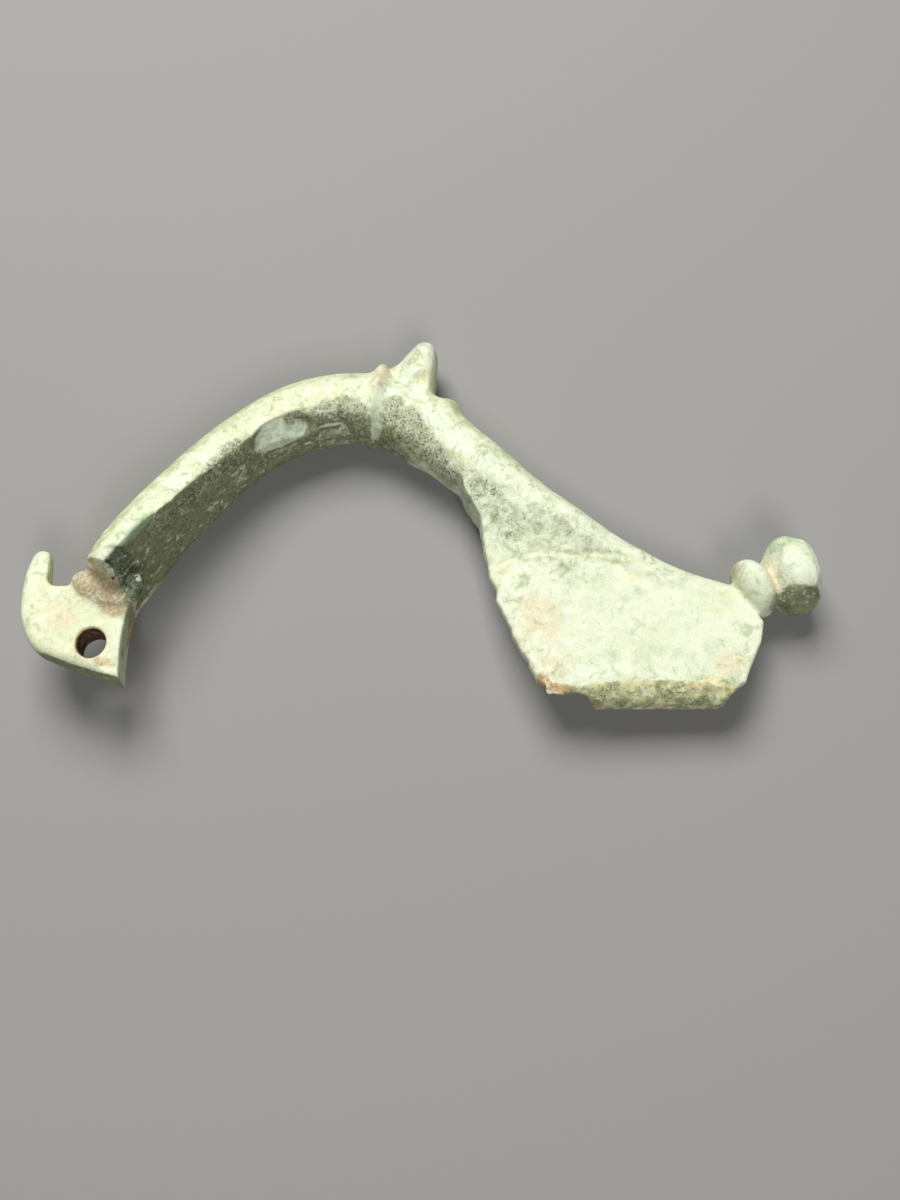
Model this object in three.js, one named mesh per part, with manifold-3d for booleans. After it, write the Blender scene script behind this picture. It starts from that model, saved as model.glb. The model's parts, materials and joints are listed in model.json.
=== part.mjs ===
// A cast bronze bow brooch (fibula) with its spring and pin lost, lying on its side.
// One casting: perforated lug with a chord hook, flared bow, crest mouldings and knob,
// faceted leg, tall catch plate with a turned-over and partly broken catch, and a foot knob.
//
// Brooch axes while shaping, in millimetres: x runs from head to foot, y points outward
// from the wearer (towards the crest), z points to the side that faces up when it lies down.
import * as THREE from "three";
import { mergeVertices } from "three/addons/utils/BufferGeometryUtils.js";
import Module from "manifold-3d";

const wasm = await Module();
wasm.setup();

// ---------------------------------------------------------------- driving dimensions
const lugThickness = 2.4;
const axisHole = { x: 5.35, y: -3.5, diameter: 1.8 }; // for the lost spring's axis rod
const plateThickness = 1.1;
const catchRadius = 1.45; // outside of the turned-over catch
const catchWall = 0.8;
const catchEnds = { stubX: 35.0, startX: 37.3, endX: 46.7, slant: 2.6 };
const headWidth = 9.6;
const crestWidth = 5.2;
const footWidth = 1.1;
const flatSpot = 0.05; // depth worn off each point that it rests on
const restStretches = [[0, 15], [20, 30], [49, 60]]; // head, crest knob, foot knob along x

// The line through the middle of the bow and leg, head to foot.
const spine = new THREE.CatmullRomCurve3(
  [
    [5.6, 1.1],
    [6.75, 3.4],
    [8.8, 6.35],
    [11.3, 9.2],
    [14.1, 11.9],
    [17.5, 14.0],
    [21.2, 14.95],
    [24.4, 14.6],
    [27.3, 12.85],
    [30.9, 9.8],
    [35.3, 6.5],
    [39.5, 3.7],
    [43.7, 1.4],
    [48.2, 0.0],
  ].map(([x, y]) => new THREE.Vector3(x, y, 0)),
  false,
  "centripetal",
);

// Section along the spine: share of its length, width across z, depth in the bow's plane,
// and how far up the depth the section is widest (0 is a flat underside, 0.5 an ellipse).
const sections = [
  { at: 0.0, width: headWidth, depth: 2.4, waist: 0.06 },
  { at: 0.05, width: 8.9, depth: 2.9, waist: 0.07 },
  { at: 0.13, width: 7.1, depth: 3.4, waist: 0.1 },
  { at: 0.24, width: 6.0, depth: 3.9, waist: 0.2 },
  { at: 0.38, width: crestWidth, depth: 4.9, waist: 0.38 },
  { at: 0.5, width: crestWidth, depth: 5.1, waist: 0.45 },
  { at: 0.6, width: 4.7, depth: 4.5, waist: 0.5 },
  { at: 0.74, width: 3.1, depth: 3.2, waist: 0.5 },
  { at: 0.85, width: 1.7, depth: 2.3, waist: 0.5 },
  { at: 1.0, width: footWidth, depth: 1.8, waist: 0.5 },
];

// Mouldings round the bow: centre along the spine, height on its outer side, the share of
// that height left on the flanks and underside, and length.
const ringMouldings = [
  { at: 0.452, height: 0.85, flank: 0.3, length: 0.55 },
  { at: 0.47, height: -0.25, flank: 1.0, length: 0.5 },
  { at: 0.539, height: 0.5, flank: 0.15, length: 1.0 },
];

const crestKnob = { x: 26.35, y: 16.95, lean: -6, radius: 3.3, squash: 0.8 };
const footAxis = {
  collar: { x: 49.2, y: 0.85, turn: 27, radius: 2.1, length: 2.3 },
  knob: { x: 49.85, y: 1.35, turn: 12, radius: 2.8, neck: 1.35, length: 3.7 },
};

// ---------------------------------------------------------------- small helpers
const smooth = (t) => t * t * (3 - 2 * t);

// Reads a named quantity from a list of stations that is sorted by its key.
function along(stations, key, position, name) {
  const last = stations.length - 1;
  if (position <= stations[0][key]) return stations[0][name];
  for (let i = 0; i < last; i++) {
    const from = stations[i];
    const to = stations[i + 1];
    if (position > to[key]) continue;
    const t = (position - from[key]) / (to[key] - from[key]);
    return from[name] + (to[name] - from[name]) * smooth(t);
  }
  return stations[last][name];
}

// Straight-line version of the same, for outlines with corners.
function onOutline(points, key, position, name) {
  const last = points.length - 1;
  if (position <= points[0][key]) return points[0][name];
  for (let i = 0; i < last; i++) {
    const from = points[i];
    const to = points[i + 1];
    if (position > to[key]) continue;
    const t = (position - from[key]) / (to[key] - from[key]);
    return THREE.MathUtils.lerp(from[name], to[name], t);
  }
  return points[last][name];
}

// Joins closed rings of equal length into one closed skin with flat ends.
function skinOverRings(rings) {
  const ringSize = rings[0].length;
  const vertices = rings.flat();
  const faces = [];
  for (let i = 0; i < rings.length - 1; i++) {
    for (let j = 0; j < ringSize; j++) {
      const a = i * ringSize + j;
      const b = i * ringSize + ((j + 1) % ringSize);
      faces.push(a, b, b + ringSize, a, b + ringSize, a + ringSize);
    }
  }
  for (const [first, flip] of [[0, true], [(rings.length - 1) * ringSize, false]]) {
    const centre = new THREE.Vector3();
    for (let j = 0; j < ringSize; j++) centre.addScaledVector(vertices[first + j], 1 / ringSize);
    const hub = vertices.push(centre) - 1;
    for (let j = 0; j < ringSize; j++) {
      const next = first + ((j + 1) % ringSize);
      faces.push(hub, ...(flip ? [next, first + j] : [first + j, next]));
    }
  }
  const geometry = new THREE.BufferGeometry().setFromPoints(vertices);
  geometry.setIndex(faces);
  return geometry;
}

// A three.js geometry as a manifold solid, facing outward.
function solid(geometry) {
  const bare = geometry.clone();
  bare.deleteAttribute("normal");
  bare.deleteAttribute("uv");
  const merged = mergeVertices(bare, 1e-4);
  const made = new wasm.Manifold(
    new wasm.Mesh({
      numProp: 3,
      vertProperties: new Float32Array(merged.attributes.position.array),
      triVerts: new Uint32Array(merged.index.array),
    }),
  );
  if (made.volume() > 0) return made;
  const index = merged.index.array;
  for (let i = 0; i < index.length; i += 3) [index[i], index[i + 1]] = [index[i + 1], index[i]];
  return new wasm.Manifold(
    new wasm.Mesh({
      numProp: 3,
      vertProperties: new Float32Array(merged.attributes.position.array),
      triVerts: new Uint32Array(index),
    }),
  );
}

// Extrudes an outline in the x-y plane to a slab centred on z = 0.
function slab(shape, thickness, bevel = 0) {
  const geometry = new THREE.ExtrudeGeometry(shape, {
    depth: thickness - 2 * bevel,
    bevelEnabled: bevel > 0,
    bevelSize: bevel,
    bevelThickness: bevel,
    bevelOffset: -bevel,
    bevelSegments: 1,
    curveSegments: 10,
  });
  return geometry.translate(0, 0, -thickness / 2 + bevel);
}

// ---------------------------------------------------------------- bow and leg
const sectionPoints = 32;
const spineSteps = 92;

// One section ring: an egg with its own exponents above and below its widest level.
function sectionRing(share) {
  const centre = spine.getPointAt(share);
  const tangent = spine.getTangentAt(share);
  const outward = new THREE.Vector3(-tangent.y, tangent.x, 0);
  const halfWidth = along(sections, "at", share, "width") / 2;
  const depth = along(sections, "at", share, "depth");
  const waist = along(sections, "at", share, "waist");
  const length = spine.getLength();
  const swellAt = (s) => {
    let swell = 0;
    for (const { at, height, flank, length: extent } of ringMouldings) {
      const off = ((share - at) * length) / extent;
      const round = THREE.MathUtils.lerp(flank, 1, Math.max(0, s));
      swell += height * round * Math.exp(-off * off * 2);
    }
    return swell;
  };
  const boxiness = THREE.MathUtils.lerp(7, 2.2, smooth(Math.min(1, waist / 0.4)));
  const ring = [];
  for (let k = 0; k < sectionPoints; k++) {
    const angle = (2 * Math.PI * k) / sectionPoints;
    const [c, s] = [Math.cos(angle), Math.sin(angle)];
    const power = s >= 0 ? 2.1 : boxiness;
    const swell = swellAt(s);
    const across = Math.sign(c) * Math.abs(c) ** (2 / power) * (halfWidth + swell);
    const reach = s >= 0 ? (1 - waist) * depth + swell : waist * depth + swell;
    const up = Math.sign(s) * Math.abs(s) ** (2 / power) * reach;
    const v = depth * (waist - 0.5) + up;
    ring.push(centre.clone().addScaledVector(outward, v).setZ(across));
  }
  return ring;
}

function bowAndLeg() {
  const rings = [];
  for (let i = 0; i <= spineSteps; i++) rings.push(sectionRing(i / spineSteps));
  return solid(skinOverRings(rings));
}

// ---------------------------------------------------------------- lathe-turned knobs
// Turns a profile of [axial, radius] pairs and lays its axis at an angle in the x-y plane.
function turned(profile, x, y, turn, segments) {
  const points = profile.map(([axial, radius]) => new THREE.Vector2(radius, axial));
  return new THREE.LatheGeometry(points, segments)
    .rotateZ(-Math.PI / 2)
    .rotateZ(THREE.MathUtils.degToRad(turn))
    .translate(x, y, 0);
}

// The crest knob: a long flank towards the head, a steep one towards the foot.
function crestDisc() {
  const { x, y, lean, radius, squash } = crestKnob;
  const profile = [
    [-2.4, 0],
    [-2.4, 0.22],
    [-1.3, 0.48],
    [-0.55, 0.8],
    [-0.1, 0.96],
    [0.35, 1.0],
    [0.8, 0.97],
    [1.15, 0.86],
    [1.35, 0.68],
    [1.45, 0.4],
    [1.45, 0],
  ].map(([axial, share]) => [axial, share * radius]);
  return solid(turned(profile, 0, 0, lean, 28).scale(1, 1, squash).translate(x, y, 0));
}

function footCollar() {
  const { x, y, turn, radius, length } = footAxis.collar;
  const steps = 8;
  const profile = [];
  for (let i = 0; i <= steps; i++) {
    const a = Math.PI * (i / steps);
    profile.push([(-length / 2) * Math.cos(a), i % steps ? radius * Math.sin(a) ** 0.7 : 0]);
  }
  return solid(turned(profile, x, y, turn, 22));
}

function footKnob() {
  const { x, y, turn, radius, neck, length } = footAxis.knob;
  return solid(
    turned(
      [
        [-1.2, 0],
        [-1.2, neck],
        [0.15, neck],
        [length * 0.28, radius * 0.86],
        [length * 0.42, radius * 0.98],
        [length * 0.6, radius],
        [length * 0.78, radius * 0.93],
        [length * 0.92, radius * 0.74],
        [length * 0.99, radius * 0.45],
        [length, 0],
      ],
      x, y, turn, 26,
    ),
  );
}

// ---------------------------------------------------------------- lug with chord hook
function lug() {
  const shape = new THREE.Shape();
  shape.moveTo(0.72, 2.6);
  shape.quadraticCurveTo(0.3, 1.7, 0.25, 0.4);
  shape.quadraticCurveTo(0.1, -1.9, 1.15, -3.4);
  shape.quadraticCurveTo(1.5, -3.85, 2.1, -4.15);
  shape.quadraticCurveTo(4.6, -5.25, 7.4, -5.95);
  shape.quadraticCurveTo(7.15, -3.4, 7.55, -1.2);
  shape.quadraticCurveTo(7.65, 0.2, 7.6, 1.5);
  shape.lineTo(6.7, 2.5);
  shape.lineTo(4.7, 1.8);
  shape.quadraticCurveTo(4.2, 1.0, 3.7, 0.65);
  shape.lineTo(2.55, 0.6);
  shape.quadraticCurveTo(2.0, 0.7, 1.95, 1.2);
  shape.lineTo(2.0, 2.4);
  shape.absarc(1.37, 2.6, 0.65, -0.2, Math.PI, false);
  const hole = new THREE.CylinderGeometry(axisHole.diameter / 2, axisHole.diameter / 2, 8, 24)
    .rotateX(Math.PI / 2)
    .translate(axisHole.x, axisHole.y, 0);
  return solid(slab(shape, lugThickness, 0.18)).subtract(solid(hole));
}

// ---------------------------------------------------------------- catch plate
// Left and right edge of the plate at each height, from the catch up into the leg.
const plateLeft = [
  { y: -6.0, x: 34.9 },
  { y: -5.0, x: 34.15 },
  { y: -1.3, x: 32.5 },
  { y: -0.2, x: 32.05 },
  { y: 0.7, x: 32.05 },
  { y: 1.6, x: 31.5 },
  { y: 4.2, x: 31.2 },
  { y: 5.8, x: 30.9 },
  { y: 9.0, x: 29.2 },
];
const plateRight = [
  { y: -6.0, x: 47.9 },
  { y: -5.0, x: 48.3 },
  { y: -3.1, x: 49.2 },
  { y: -1.7, x: 49.5 },
  { y: -0.2, x: 48.4 },
  { y: 0.5, x: 47.2 },
  { y: 1.4, x: 43.7 },
  { y: 3.5, x: 39.9 },
  { y: 6.4, x: 35.4 },
  { y: 9.0, x: 32.1 },
];
const creaseHeight = 2.3; // below it the plate is flat, above it the side swells to the leg
const flatEdge = -6.0; // where the plate turns over into the catch

// The leg above any x: the height of its middle line and its half width there.
function legAt(x) {
  let share = 1;
  while (share > 0.5 && spine.getPointAt(share).x > x) share -= 0.005;
  return { middle: spine.getPointAt(share).y, half: along(sections, "at", share, "width") / 2 };
}

// Half the plate's thickness: flat up to the crease, then swelling to the leg's full width.
function sideHalf(x, y) {
  const leg = legAt(x);
  if (leg.middle < creaseHeight + 0.6) return plateThickness / 2;
  const rise = THREE.MathUtils.clamp((y - creaseHeight) / (leg.middle - creaseHeight), 0, 1);
  const flat = plateThickness / 2;
  return THREE.MathUtils.lerp(flat, Math.max(flat, leg.half * 0.96), rise);
}

function catchPlate() {
  const levels = [...plateLeft, ...plateRight].map(({ y }) => y);
  const heights = [...new Set([...levels, creaseHeight, 2.9, 5.0, 7.4, 8.2])];
  heights.sort((a, b) => a - b);
  const columns = 12;
  const rings = heights.map((y) => {
    const left = onOutline(plateLeft, "y", y, "x");
    const right = onOutline(plateRight, "y", y, "x");
    const near = [];
    const far = [];
    for (let i = 0; i <= columns; i++) {
      const x = THREE.MathUtils.lerp(left, right, i / columns);
      const half = sideHalf(x, y);
      near.push(new THREE.Vector3(x, y, half));
      far.unshift(new THREE.Vector3(x, y, -half));
    }
    return [...near, ...far];
  });
  return solid(skinOverRings(rings));
}

// A length of the catch: the plate's edge rolled to the far side through an angle, with
// a straight lip after a full half turn. Its outline is in y and z, and it runs along x.
function roll(fromX, toX, degrees, lip) {
  const half = plateThickness / 2;
  const inner = catchRadius - catchWall;
  const centre = { y: flatEdge + 0.1, z: half - catchRadius };
  const start = Math.PI / 2;
  const end = start + THREE.MathUtils.degToRad(degrees);
  const shape = new THREE.Shape();
  shape.moveTo(centre.y + 0.6, half);
  shape.lineTo(centre.y, half);
  shape.absarc(centre.y, centre.z, catchRadius, start, end, false);
  if (lip > 0) shape.lineTo(centre.y + lip, centre.z - catchRadius);
  if (lip > 0) shape.lineTo(centre.y + lip, centre.z - inner);
  shape.absarc(centre.y, centre.z, inner, end, start, true);
  shape.lineTo(centre.y + 0.6, centre.z + inner);
  const geometry = new THREE.ExtrudeGeometry(shape, {
    depth: toX - fromX,
    bevelEnabled: false,
    curveSegments: 14,
  });
  const layAlongX = new THREE.Matrix4().set(
    0, 0, 1, fromX,
    1, 0, 0, 0,
    0, 1, 0, 0,
    0, 0, 0, 1,
  );
  return solid(geometry.applyMatrix4(layAlongX));
}

// The whole catch between its slanting ends, and the stub left where a length broke off.
function rolledCatch() {
  const { startX, endX, stubX, slant } = catchEnds;
  const trim = new THREE.Shape();
  trim.moveTo(startX - 0.5, 0);
  trim.lineTo(startX - 0.5, flatEdge - 0.3);
  trim.lineTo(startX + slant * 0.3, flatEdge - 1.0);
  trim.lineTo(startX + slant, flatEdge - 1.6);
  trim.lineTo(endX - 0.4, flatEdge - 1.8);
  trim.lineTo(endX, flatEdge - 1.05);
  trim.lineTo(endX + 1.15, flatEdge);
  trim.lineTo(endX + 1.15, 0);
  const whole = roll(startX - 0.5, endX + 1.5, 180, 1.2).intersect(solid(slab(trim, 12)));
  return whole.add(roll(stubX, startX, 42, 0));
}

// ---------------------------------------------------------------- the whole casting
function casting() {
  const made = [crestDisc(), footCollar(), footKnob(), lug(), catchPlate(), rolledCatch()];
  return made.reduce((whole, piece) => whole.add(piece), bowAndLeg());
}

function toGeometry(manifold) {
  const mesh = manifold.getMesh();
  const geometry = new THREE.BufferGeometry();
  geometry.setAttribute("position", new THREE.BufferAttribute(mesh.vertProperties, 3));
  geometry.setIndex(new THREE.BufferAttribute(mesh.triVerts, 1));
  const flat = geometry.toNonIndexed();
  flat.computeVertexNormals();
  return flat;
}

// ---------------------------------------------------------------- how it lies
// It lies on its far side, on three points: the head's edge, the crest knob and the foot
// knob. Each pass takes the lowest point of those three stretches for the last "down".
function restingDown(points) {
  const down = new THREE.Vector3(0, 0, -1);
  for (let pass = 0; pass < 8; pass++) {
    const feet = restStretches.map(([fromX, toX]) =>
      points
        .filter(({ x }) => x > fromX && x < toX)
        .reduce((best, point) => (point.dot(down) > best.dot(down) ? point : best)),
    );
    new THREE.Triangle(...feet).getNormal(down);
    if (down.z > 0) down.negate();
  }
  return down;
}

function pointsOf(geometry) {
  const { position } = geometry.attributes;
  const points = [];
  for (let i = 0; i < position.count; i++) {
    points.push(new THREE.Vector3().fromBufferAttribute(position, i));
  }
  return points;
}

// Grinds the three resting points flat by a hair, as wear has, so that it lies firmly.
function withFlatSpots(whole, down) {
  const lowest = Math.max(...pointsOf(toGeometry(whole)).map((point) => point.dot(down)));
  const slabDepth = 10;
  const toDown = new THREE.Quaternion().setFromUnitVectors(new THREE.Vector3(0, 0, 1), down);
  const floor = new THREE.BoxGeometry(200, 200, slabDepth)
    .translate(0, 0, lowest - flatSpot + slabDepth / 2)
    .applyQuaternion(toDown);
  return whole.subtract(solid(floor));
}

const whole = casting();
const down = restingDown(pointsOf(toGeometry(whole)));
const geometry = toGeometry(withFlatSpots(whole, down));

const bronze = new THREE.MeshStandardMaterial({ color: 0x9dab88, roughness: 0.8, metalness: 0.1 });
const body = new THREE.Mesh(geometry, bronze);
body.name = "brooch_body";
body.quaternion.setFromUnitVectors(down, new THREE.Vector3(0, 0, -1));

// The origin is under the middle of the brooch, on the surface that it lies on.
const brooch = new THREE.Group();
brooch.add(body);
brooch.updateMatrixWorld(true);
const reach = new THREE.Box3().setFromObject(body, true);
const middle = reach.getCenter(new THREE.Vector3());
body.position.set(-middle.x, -middle.y, -reach.min.z);

export default brooch;
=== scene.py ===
import json
import math

import bpy
import numpy as np
from mathutils import Matrix, Vector


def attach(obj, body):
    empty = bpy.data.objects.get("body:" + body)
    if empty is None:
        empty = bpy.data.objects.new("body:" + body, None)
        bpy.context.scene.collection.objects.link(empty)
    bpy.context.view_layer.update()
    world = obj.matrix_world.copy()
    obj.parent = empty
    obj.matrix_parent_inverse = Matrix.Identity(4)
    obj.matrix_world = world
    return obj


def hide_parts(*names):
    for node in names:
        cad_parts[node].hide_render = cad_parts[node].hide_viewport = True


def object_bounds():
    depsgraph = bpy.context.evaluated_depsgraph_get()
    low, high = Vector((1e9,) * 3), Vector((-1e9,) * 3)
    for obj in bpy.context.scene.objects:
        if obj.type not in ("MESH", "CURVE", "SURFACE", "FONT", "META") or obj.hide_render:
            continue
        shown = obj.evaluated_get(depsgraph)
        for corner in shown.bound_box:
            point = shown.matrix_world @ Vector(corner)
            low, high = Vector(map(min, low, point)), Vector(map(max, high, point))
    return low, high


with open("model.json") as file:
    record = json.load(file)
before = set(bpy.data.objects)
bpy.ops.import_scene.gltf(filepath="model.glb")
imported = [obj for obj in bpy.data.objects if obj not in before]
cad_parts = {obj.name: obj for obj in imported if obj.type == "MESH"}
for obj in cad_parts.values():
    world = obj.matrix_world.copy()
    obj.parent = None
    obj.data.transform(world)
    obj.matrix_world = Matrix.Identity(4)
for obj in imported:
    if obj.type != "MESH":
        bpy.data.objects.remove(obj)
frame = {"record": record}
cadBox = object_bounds()
print("frame loaded")

mm = 0.001

# The brooch is shaped in its own axes, in millimetres: x from head to foot, y outward to the
# crest, z out of the side that shows. The lug's flat face says how those axes lie in the frame.
lugFace = dict(name="lug_near_side", spot=(3.0, -2.4, 1.2))
lugMount = next(m for m in frame["record"]["mounts"] if m["name"] == lugFace["name"])
lean = np.array(Vector((0, 0, 1)).rotation_difference(Vector(lugMount["axis"])).to_matrix())
frameOrigin = np.array(lugMount["pos_m"]) - lean @ np.array(lugFace["spot"]) * mm


def toFrame(points):
    return np.asarray(points) @ lean.T * mm + frameOrigin


# ---- small maths
def ease(t):
    t = np.clip(t, 0.0, 1.0)
    return t * t * (3 - 2 * t)


def easedBetween(position, stations, values):
    # eases from one station's value to the next, as a soft S between each pair
    stations = np.asarray(stations, float)
    values = np.asarray(values, float)
    i = np.clip(np.searchsorted(stations, position, side="right") - 1, 0, len(stations) - 2)
    t = (position - stations[i]) / (stations[i + 1] - stations[i])
    return values[i] + (values[i + 1] - values[i]) * ease(t)


def latticeNoise(points, cell, seed):
    # value noise: a fixed random number at each corner of a cubic lattice with this cell
    # size, eased between the corners; the result runs from -1 to 1
    p = np.asarray(points) / cell + 37.0 * seed
    base = np.floor(p).astype(np.int64)
    f = ease(p - base)
    total = np.zeros(len(p))
    for corner in range(8):
        step = np.array([corner & 1, corner >> 1 & 1, corner >> 2 & 1])
        q = base + step
        h = q[:, 0] * 374761393 + q[:, 1] * 668265263 + q[:, 2] * 2147483647 + seed * 1274126177
        h = (h ^ (h >> 13)) * 1274126177 & 0xFFFFFFFF
        h = (h ^ (h >> 16)) * 2246822519 & 0xFFFFFFFF
        value = ((h ^ (h >> 15)) & 0xFFFF) / 32767.5 - 1.0
        total += value * np.prod(np.where(step == 1, f, 1 - f), axis=1)
    return total


def layeredNoise(points, cell, seed, layers=3):
    total = np.zeros(len(points))
    for k in range(layers):
        total += latticeNoise(points, cell / 2**k, seed + k) * 0.5**k
    return total / (2 - 0.5 ** (layers - 1))


# ---- the line through the middle of the bow and leg
spinePoints = np.array([
    (5.6, 1.1), (6.75, 3.4), (8.8, 6.35), (11.3, 9.2), (14.1, 11.9), (17.5, 14.0), (21.2, 14.95),
    (24.4, 14.6), (27.3, 12.85), (30.9, 9.8), (35.3, 6.5), (39.5, 3.7), (43.7, 1.4), (48.2, 0.0),
])


def curveThrough(points, count):
    # a centripetal Catmull-Rom curve through the points, then evened out along its length
    ends = np.vstack([2 * points[0] - points[1], points, 2 * points[-1] - points[-2]])
    gaps = np.sqrt(np.linalg.norm(np.diff(ends, axis=0), axis=1))
    t = np.linspace(0, 1, 60, endpoint=False)[:, None]
    pieces = []
    for i in range(1, len(ends) - 2):
        a, b, c, d = ends[i - 1:i + 3]
        g0, g1, g2 = gaps[i - 1:i + 2]
        out = ((b - a) / g0 - (c - a) / (g0 + g1) + (c - b) / g1) * g1
        into = ((c - b) / g1 - (d - b) / (g1 + g2) + (d - c) / g2) * g1
        pieces.append(
            b * (2 * t**3 - 3 * t**2 + 1) + c * (3 * t**2 - 2 * t**3)
            + out * (t**3 - 2 * t**2 + t) + into * (t**3 - t**2)
        )
    line = np.vstack(pieces + [points[-1:]])
    run = np.concatenate([[0], np.cumsum(np.linalg.norm(np.diff(line, axis=0), axis=1))])
    even = np.linspace(0, run[-1], count)
    return np.stack([np.interp(even, run, line[:, k]) for k in range(2)], 1), run[-1]


spine, spineLength = curveThrough(spinePoints, 721)
spineShare = np.linspace(0, 1, len(spine))
spineTangent = np.gradient(spine, axis=0)
spineTangent /= np.linalg.norm(spineTangent, axis=1)[:, None]
spineOut = np.stack([-spineTangent[:, 1], spineTangent[:, 0]], 1)

bow = dict(
    at=(0.0, 0.05, 0.13, 0.24, 0.38, 0.5, 0.6, 0.74, 0.85, 1.0),
    width=(9.6, 8.9, 7.1, 6.0, 5.2, 5.2, 4.7, 3.1, 1.7, 1.1),
    depth=(2.4, 2.9, 3.4, 3.9, 4.9, 5.1, 4.5, 3.2, 2.3, 1.8),
    waist=(0.06, 0.07, 0.1, 0.2, 0.38, 0.45, 0.5, 0.5, 0.5, 0.5),  # level of the widest part
    above=2.1,  # the oval's exponent above its widest level
    below=(7, 2.15),  # and below it: where the widest level is lowest, and where it is high
    highWaist=0.24,
)

# mouldings round the bow: place along it, height on the outer side, share of that height
# left on the flanks, and length in millimetres
mouldings = [
    dict(at=0.452, height=0.85, flank=0.3, length=0.55),
    dict(at=0.47, height=-0.25, flank=1.0, length=0.5),
    dict(at=0.539, height=0.5, flank=0.15, length=1.0),
]


def bowAndLeg(stations=420, around=110):
    # rings square to the spine: an oval, nearly round above its widest level and flat below it
    # near the head, so that the head is D-shaped and the crest oval
    share = np.linspace(0, 1, stations)
    centre = np.stack([np.interp(share, spineShare, spine[:, k]) for k in range(2)], 1)
    outward = np.stack([np.interp(share, spineShare, spineOut[:, k]) for k in range(2)], 1)
    half = easedBetween(share, bow["at"], bow["width"]) / 2
    depth = easedBetween(share, bow["at"], bow["depth"])
    waist = easedBetween(share, bow["at"], bow["waist"])
    flat, rounded = bow["below"]
    boxy = flat + (rounded - flat) * ease(waist / bow["highWaist"])
    angle = np.linspace(0, 2 * math.pi, around, endpoint=False)
    c, s = np.cos(angle)[None, :], np.sin(angle)[None, :]
    swell = np.zeros((stations, around))
    for ring in mouldings:
        off = (share - ring["at"]) * spineLength / ring["length"]
        rounding = ring["flank"] + (1 - ring["flank"]) * np.maximum(0, s)
        swell += ring["height"] * rounding * np.exp(-2 * off**2)[:, None]
    power = np.where(s >= 0, bow["above"], boxy[:, None])
    across = np.sign(c) * np.abs(c) ** (2 / power) * (half[:, None] + swell)
    reach = np.where(s >= 0, ((1 - waist) * depth)[:, None], (waist * depth)[:, None]) + swell
    up = np.sign(s) * np.abs(s) ** (2 / power) * reach
    v = (depth * (waist - 0.5))[:, None] + up
    xy = centre[:, None, :] + outward[:, None, :] * v[:, :, None]
    return np.concatenate([xy, across[:, :, None]], axis=2)


# ---- turned knobs
def turnedForm(profile, place, turn, around=72, squash=1.0):
    # a profile of (along, radius) pairs spun about an axis that lies in the x-y plane
    profile = np.asarray(profile, float)
    steps = np.concatenate([[0], np.cumsum(np.linalg.norm(np.diff(profile, axis=0), axis=1))])
    fine = np.linspace(0, steps[-1], 70)
    along, radius = (np.interp(fine, steps, profile[:, k]) for k in range(2))
    angle = np.linspace(0, 2 * math.pi, around, endpoint=False)
    across = radius[:, None] * np.cos(angle)[None, :]
    side = radius[:, None] * np.sin(angle)[None, :] * squash
    c, s = math.cos(math.radians(turn)), math.sin(math.radians(turn))
    x = place[0] + along[:, None] * c - across * s
    y = place[1] + along[:, None] * s + across * c
    return np.stack([x, y, side], axis=2)


crestKnob = dict(place=(26.35, 16.95), turn=-6, radius=3.3, squash=0.8)
footCollar = dict(place=(49.2, 0.85), turn=27, radius=2.1, length=2.3)
footKnob = dict(place=(49.85, 1.35), turn=12, radius=2.8, neck=1.25, length=3.7)


def crestKnobForm():
    profile = [(-2.4, 0.0), (-2.4, 0.22), (-1.3, 0.48), (-0.55, 0.8), (-0.1, 0.96), (0.35, 1.0),
               (0.8, 0.97), (1.15, 0.86), (1.35, 0.68), (1.45, 0.4), (1.45, 0.0)]
    scaled = [(a, r * crestKnob["radius"]) for a, r in profile]
    return turnedForm(scaled, crestKnob["place"], crestKnob["turn"], squash=crestKnob["squash"])


def collarForm():
    a = np.linspace(0, math.pi, 30)
    radius = footCollar["radius"] * np.maximum(0, np.sin(a)) ** 0.7
    profile = np.stack([-footCollar["length"] / 2 * np.cos(a), radius], 1)
    return turnedForm(profile, footCollar["place"], footCollar["turn"])


def footKnobForm():
    radius, neck, length = footKnob["radius"], footKnob["neck"], footKnob["length"]
    belly = [(0.28, 0.86), (0.42, 0.98), (0.6, 1.0), (0.78, 0.93), (0.92, 0.74), (0.99, 0.45)]
    profile = [(-1.2, 0), (-1.2, neck), (0.15, neck)]
    profile += [(length * a, radius * r) for a, r in belly] + [(length, 0)]
    return turnedForm(profile, footKnob["place"], footKnob["turn"])


# ---- catch plate
plate = dict(
    half=0.55,
    flatEdge=-6.0,
    leftY=(-6.0, -5.0, -1.3, -0.2, 0.7, 1.6, 4.2, 5.8, 9.0),
    leftX=(34.9, 34.15, 32.5, 32.05, 32.05, 31.5, 31.2, 30.9, 29.2),
    rightY=(-6.0, -5.0, -3.1, -1.7, -0.2, 0.5, 1.4, 3.5, 6.4, 9.0),
    rightX=(47.9, 48.3, 49.2, 49.5, 48.4, 47.2, 43.7, 39.9, 35.4, 32.1),
    topY=9.0,
    chips=(0.16, 1.1),  # how deep the broken left edge wanders, and over what length
    fray=(0.05, 0.3),
    crease=dict(low=2.2, rise=0.8, fromX=31.5, length=11.3),
    flatFromX=44.5,
    bulge=0.16,
)


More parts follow.
